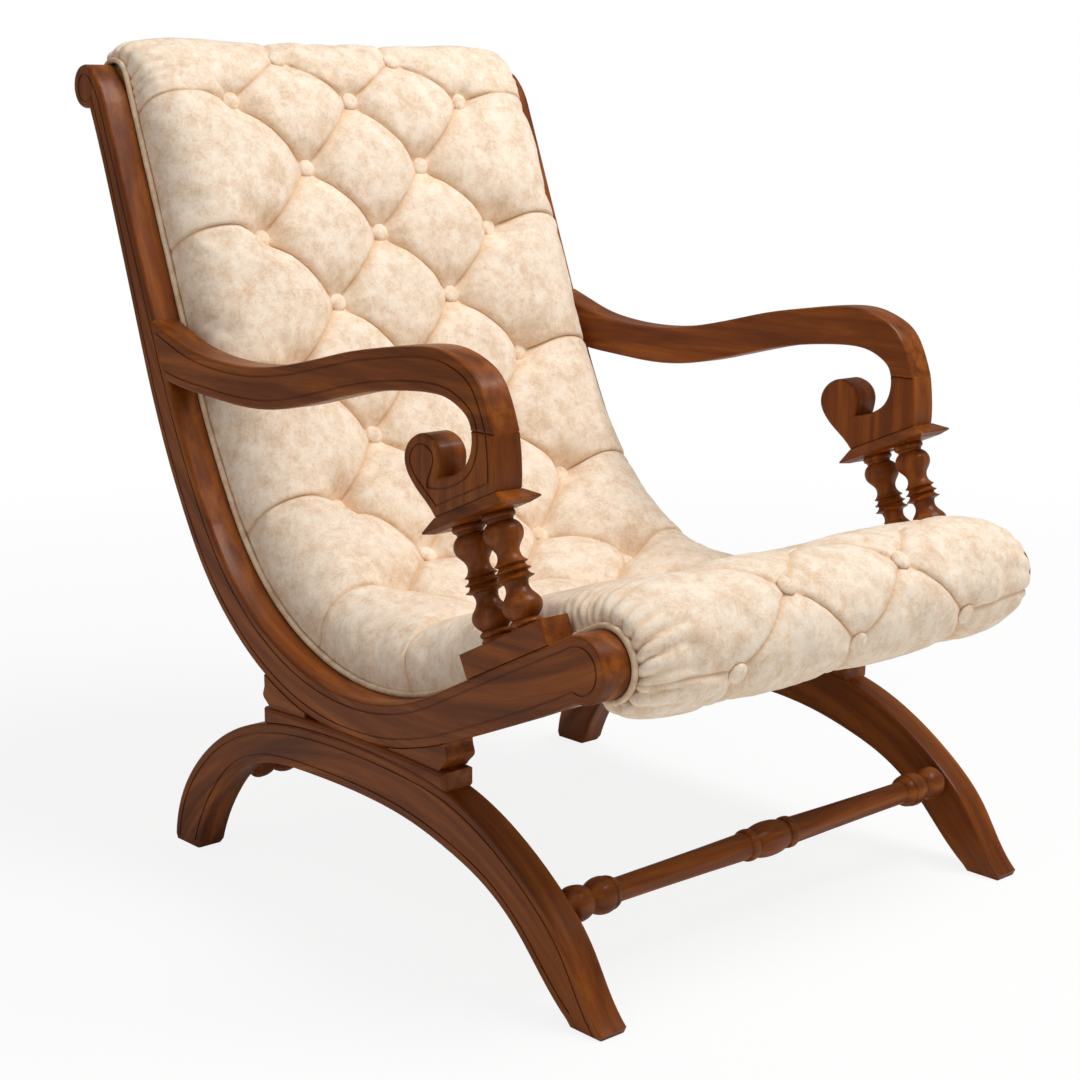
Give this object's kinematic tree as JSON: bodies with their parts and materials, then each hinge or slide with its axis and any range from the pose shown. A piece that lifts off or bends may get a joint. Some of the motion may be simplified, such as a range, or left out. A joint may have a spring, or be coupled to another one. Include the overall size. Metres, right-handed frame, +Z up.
{
  "type": "planters chair",
  "caption": "Low planters chair with scroll-topped curved side rails on arched legs, turned stretchers, scrolled arms on turned spindles and a button-tufted ivory pad.",
  "frame": {"origin": "on the floor, under the middle of the chair's overall box", "axes": "+X to the sitter's left, -Y to the front where the sitter faces, +Z up"},
  "size_m": [0.6626, 0.9256, 0.9171],
  "materials": {
    "show_wood": "satin lacquer over a warm brown stain",
    "inner_wood": "raw planed",
    "dowel_wood": "raw fluted",
    "screw_steel": "zinc plated",
    "foam": "open-cell foam",
    "pad_velvet": "ivory crushed velvet",
    "button_velvet": "ivory velvet, covered buttons",
    "piping_velvet": "ivory velvet, piped",
    "lining_cloth": "plain woven cotton"
  },
  "bodies": {
    "root": {"side_rail_right": "show_wood", "side_rail_left": "show_wood", "leg_arch_right": "show_wood", "leg_arch_left": "show_wood", "saddle_pad_right": "show_wood", "saddle_pad_left": "show_wood", "saddle_wedge_rear_right": "show_wood", "saddle_wedge_rear_left": "show_wood", "saddle_wedge_front_right": "show_wood", "saddle_wedge_front_left": "show_wood", "base_block_right": "show_wood", "base_block_left": "show_wood", "spindle_front_right": "show_wood", "spindle_front_left": "show_wood", "spindle_rear_right": "show_wood", "spindle_rear_left": "show_wood", "arm_plate_right": "show_wood", "arm_plate_left": "show_wood", "arm_scroll_right": "show_wood", "arm_scroll_left": "show_wood", "arm_right": "show_wood", "arm_left": "show_wood", "stretcher_front": "show_wood", "stretcher_rear": "show_wood", "crest_rail": "inner_wood", "waist_rail": "inner_wood", "seat_rail": "inner_wood", "front_rail": "inner_wood", "back_slats": "inner_wood", "seat_slats": "inner_wood", "crest_dowels": "dowel_wood", "waist_dowels": "dowel_wood", "seat_dowels": "dowel_wood", "front_dowels": "dowel_wood", "arm_dowels": "dowel_wood", "plate_screws": "screw_steel", "arm_screws": "screw_steel", "leg_screws": "screw_steel", "foam": "foam", "tufted_pad": "pad_velvet", "tuft_buttons": "button_velvet", "piping_right": "piping_velvet", "piping_left": "piping_velvet", "back_lining": "lining_cloth", "seat_lining": "lining_cloth"}
  },
  "joints": []
}
